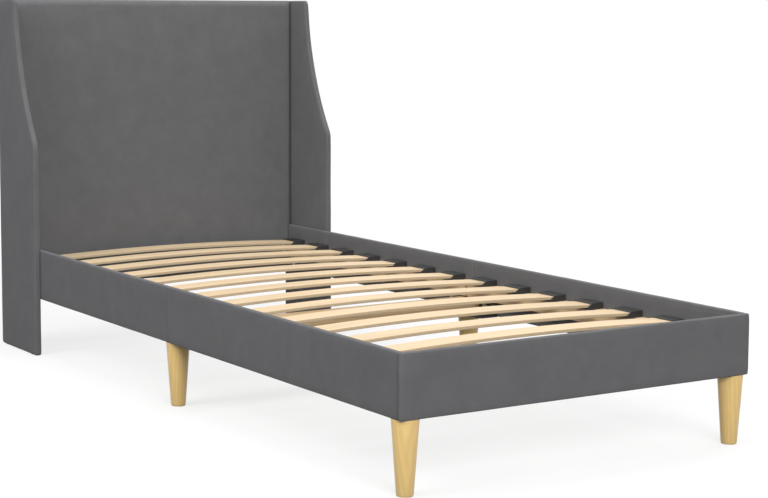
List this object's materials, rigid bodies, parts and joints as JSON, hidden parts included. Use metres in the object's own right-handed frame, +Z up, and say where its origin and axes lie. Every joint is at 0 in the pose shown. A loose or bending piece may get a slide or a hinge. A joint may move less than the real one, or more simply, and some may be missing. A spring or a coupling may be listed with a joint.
{
  "type": "bed frame",
  "caption": "Single bed frame with an upholstered winged headboard, covered rails, bowed slats and tapered wooden legs.",
  "frame": {"origin": "middle of the frame's footprint, on the floor", "axes": "+Y towards the headboard, +X towards the right side as seen from the foot, +Z up"},
  "size_m": [0.966, 2.07, 0.992],
  "materials": {
    "upholstery_fabric": "plain dark grey woven cloth with a short soft nap",
    "back_cloth": "thin non-woven black cloth",
    "foam": "open-cell foam",
    "panel_board": "raw plywood",
    "timber": "raw planed pine",
    "slat_plywood": "satin birch veneer",
    "leg_wood": "satin clear lacquer on light wood",
    "holder_plastic": "moulded, fine grain",
    "glide_plastic": "moulded, smooth, beige",
    "plate_steel": "black powder coat",
    "bolt_steel": "bright zinc plate"
  },
  "bodies": {
    "root": {"corner_bracket_left": "plate_steel", "corner_bracket_right": "plate_steel", "foot_rail_board": "panel_board", "foot_rail_cover": "upholstery_fabric", "frame_bolts": "bolt_steel", "headboard_back_cloth": "back_cloth", "headboard_bottom_batten": "timber", "headboard_cover": "upholstery_fabric", "headboard_face_board": "panel_board", "headboard_foam": "foam", "headboard_mid_batten": "timber", "headboard_stile_left": "timber", "headboard_stile_right": "timber", "headboard_top_batten": "timber", "joint_angle_left": "plate_steel", "joint_angle_right": "plate_steel", "ledger_front_left": "timber", "ledger_front_right": "timber", "ledger_rear_left": "timber", "ledger_rear_right": "timber", "leg_foot_left": "leg_wood", "leg_foot_right": "leg_wood", "leg_glides": "glide_plastic", "leg_hanger_bolts": "bolt_steel", "leg_mid_left": "leg_wood", "leg_mid_right": "leg_wood", "leg_nuts": "bolt_steel", "mid_cross_bar": "timber", "side_rail_board_front_left": "panel_board", "side_rail_board_front_right": "panel_board", "side_rail_board_rear_left": "panel_board", "side_rail_board_rear_right": "panel_board", "side_rail_cover_front_left": "upholstery_fabric", "side_rail_cover_front_right": "upholstery_fabric", "side_rail_cover_rear_left": "upholstery_fabric", "side_rail_cover_rear_right": "upholstery_fabric", "slat_01": "slat_plywood", "slat_02": "slat_plywood", "slat_03": "slat_plywood", "slat_04": "slat_plywood", "slat_05": "slat_plywood", "slat_06": "slat_plywood", "slat_07": "slat_plywood", "slat_08": "slat_plywood", "slat_09": "slat_plywood", "slat_10": "slat_plywood", "slat_11": "slat_plywood", "slat_12": "slat_plywood", "slat_13": "slat_plywood", "slat_14": "slat_plywood", "slat_holders_left": "holder_plastic", "slat_holders_right": "holder_plastic", "threaded_inserts": "bolt_steel", "wing_board_left": "panel_board", "wing_board_right": "panel_board", "wing_bolts": "bolt_steel", "wing_cover_left": "upholstery_fabric", "wing_cover_right": "upholstery_fabric", "wing_glides": "holder_plastic"}
  },
  "joints": []
}
